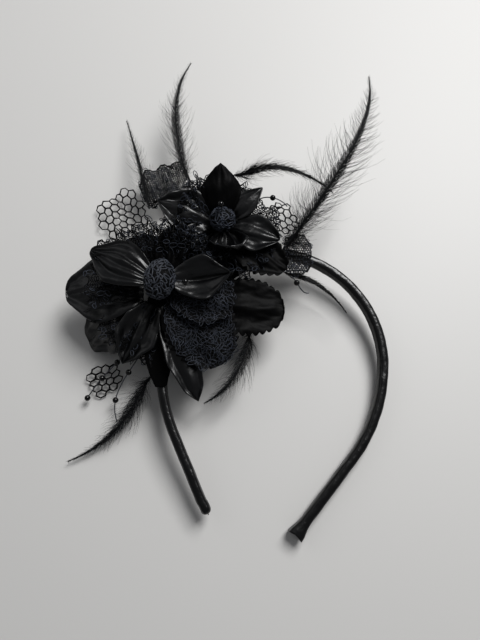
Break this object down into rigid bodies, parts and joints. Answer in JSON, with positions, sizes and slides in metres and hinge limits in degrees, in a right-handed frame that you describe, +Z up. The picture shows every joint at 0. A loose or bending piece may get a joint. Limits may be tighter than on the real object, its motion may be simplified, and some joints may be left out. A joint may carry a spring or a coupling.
{
  "type": "fascinator headpiece",
  "caption": "Sprung satin-covered headband lying on its back, with fabric flowers, lace, veiling, feathers and beads on fine wires on one shoulder.",
  "frame": {"origin": "middle of the bottom of the whole piece, on the surface it lies on", "axes": "+Z up from that surface, +Y towards the crown of the band and the long feathers, +X towards the leg without flowers"},
  "size_m": [0.1765, 0.2824, 0.0541],
  "materials": {
    "plastic_strip": "matt",
    "satin_ribbon": "satin",
    "felt": "matt",
    "nylon_wire": "satin",
    "bead": "gloss",
    "feather": "satin",
    "net": "matt",
    "lace": "matt",
    "stuffing_cloth": "matt",
    "matte_satin": "matt",
    "flower_satin": "satin"
  },
  "bodies": {
    "crown": {"band_core_crown": "plastic_strip", "calyx_a": "stuffing_cloth", "calyx_b": "stuffing_cloth", "feather_1": "feather", "feather_2": "feather", "feather_3": "feather", "feather_4": "feather", "feather_5": "feather", "feather_6": "feather", "feather_7": "feather", "felt_base": "felt", "felt_lip": "felt", "knot_a": "flower_satin", "knot_a_lace": "lace", "knot_b": "flower_satin", "knot_b_lace": "lace", "lace_side": "lace", "lace_upper": "lace", "petal_a1": "flower_satin", "petal_a2": "flower_satin", "petal_a3": "flower_satin", "petal_a4": "flower_satin", "petal_a5": "flower_satin", "petal_a5_lace": "lace", "petal_a6": "flower_satin", "petal_a7": "lace", "petal_a8": "matte_satin", "petal_a9": "flower_satin", "petal_b1": "matte_satin", "petal_b2": "flower_satin", "petal_b3": "flower_satin", "petal_b4": "flower_satin", "petal_b5": "flower_satin", "petal_b6": "flower_satin", "petal_b7": "matte_satin", "satin_cover_crown": "satin_ribbon", "spray_1_beads": "bead", "spray_1_wire": "nylon_wire", "spray_2_beads": "bead", "spray_2_wire": "nylon_wire", "spray_3_beads": "bead", "spray_3_wire": "nylon_wire", "spray_4_beads": "bead", "spray_4_wire": "nylon_wire", "spray_5_beads": "bead", "spray_5_wire": "nylon_wire", "spray_6_beads": "bead", "spray_6_wire": "nylon_wire", "spray_7_beads": "bead", "spray_7_wire": "nylon_wire", "veil_left": "net", "veil_lower": "net", "veil_side": "net", "veil_upper": "net"},
    "free_leg": {"band_core_free_leg": "plastic_strip", "satin_cover_free_leg": "satin_ribbon", "satin_end_free_leg": "satin_ribbon"},
    "flower_leg": {"band_core_flower_leg": "plastic_strip", "satin_cover_flower_leg": "satin_ribbon", "satin_end_flower_leg": "satin_ribbon"}
  },
  "joints": [
    {"name": "free_leg_flex", "type": "hinge", "parent": "crown", "child": "free_leg", "pos_m": [0.08795, -0.05243, 0.00748], "axis": [0.0766, -0.0809, 0.9938], "range_deg": [0, 12], "stiffness_Nm_per_rad": 0.43},
    {"name": "flower_leg_flex", "type": "hinge", "parent": "crown", "child": "flower_leg", "pos_m": [-0.0362, -0.0692, 0.01569], "axis": [-0.0766, 0.0809, -0.9938], "range_deg": [0, 12], "stiffness_Nm_per_rad": 0.43}
  ]
}
